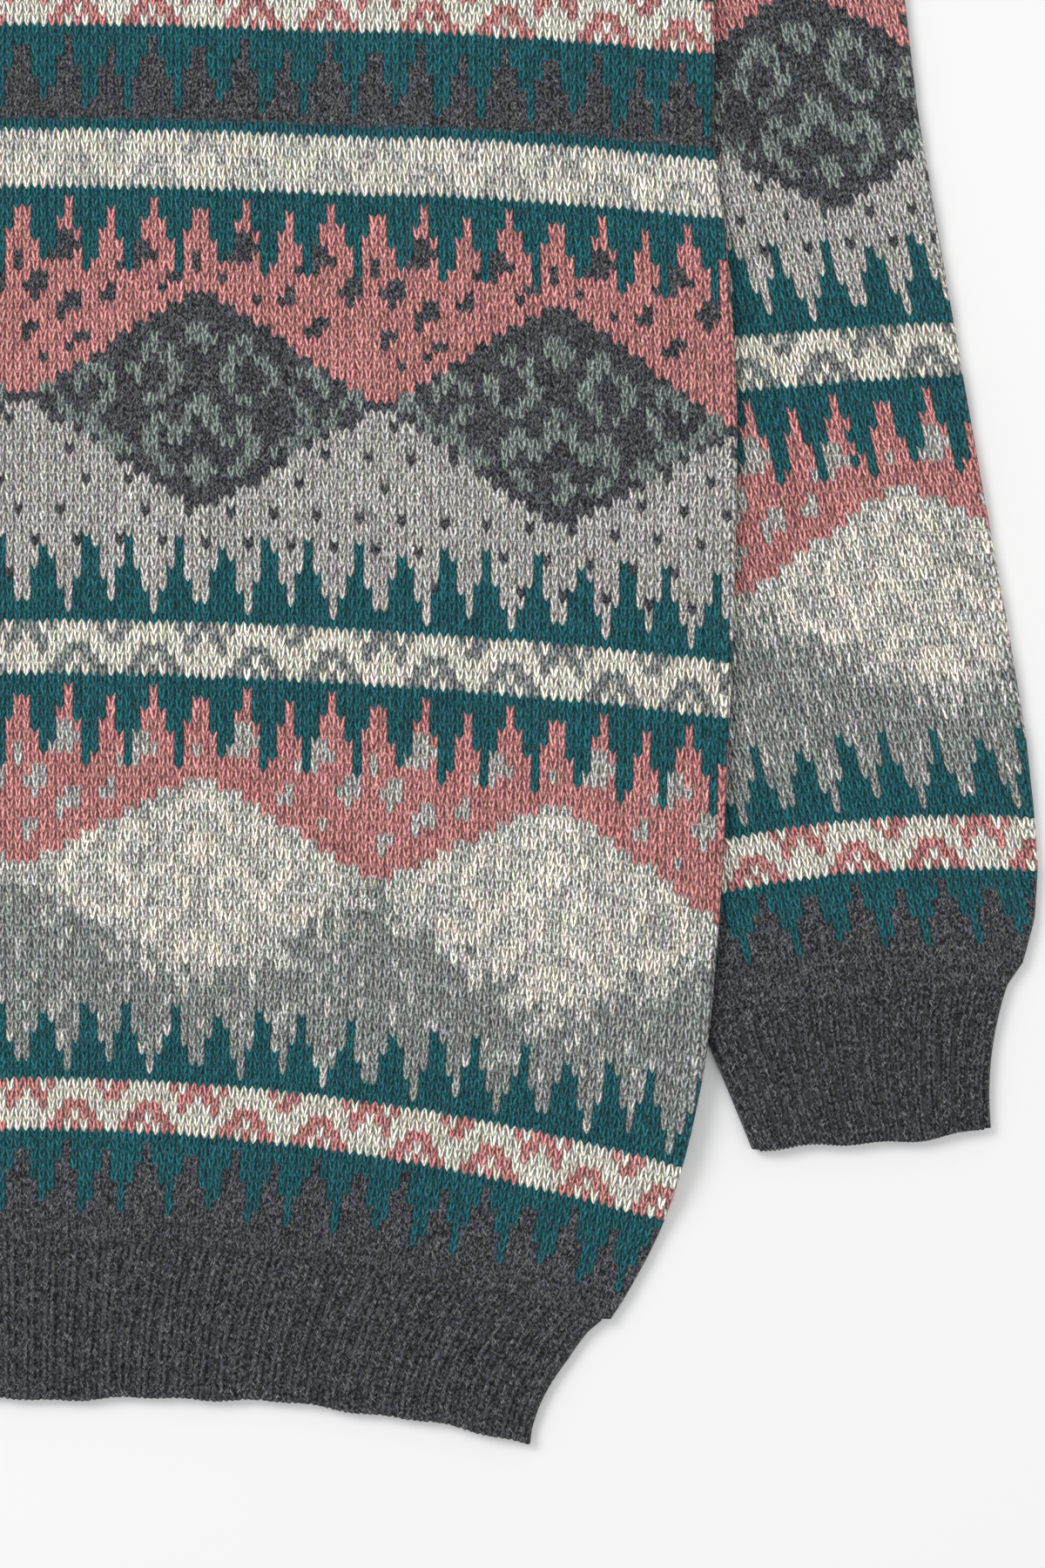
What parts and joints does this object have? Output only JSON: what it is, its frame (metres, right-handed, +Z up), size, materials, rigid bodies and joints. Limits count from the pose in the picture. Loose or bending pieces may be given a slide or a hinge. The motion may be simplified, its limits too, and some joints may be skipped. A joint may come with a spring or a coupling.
{
  "type": "fair isle jumper",
  "caption": "Stranded wool jumper laid flat with its front up: crew neckband, ribbed hem and cuffs, body edges lying over the tucked inner sides of the sleeves.",
  "frame": {"origin": "under the middle of the garment's bounding box, on the surface it lies on", "axes": "+X across the body towards the wearer's left sleeve, +Y from the hem to the neck, +Z up out of the surface"},
  "size_m": [0.795, 0.7782, 0.0138],
  "materials": {
    "knit": "matte wool knit",
    "rib": "matte wool rib"
  },
  "bodies": {
    "root": {"front": "knit", "back": "knit", "sleeve_left": "knit", "sleeve_right": "knit", "hem_rib_front": "rib", "hem_rib_back": "rib", "cuff_left": "rib", "cuff_right": "rib", "neckband": "rib"}
  },
  "joints": []
}
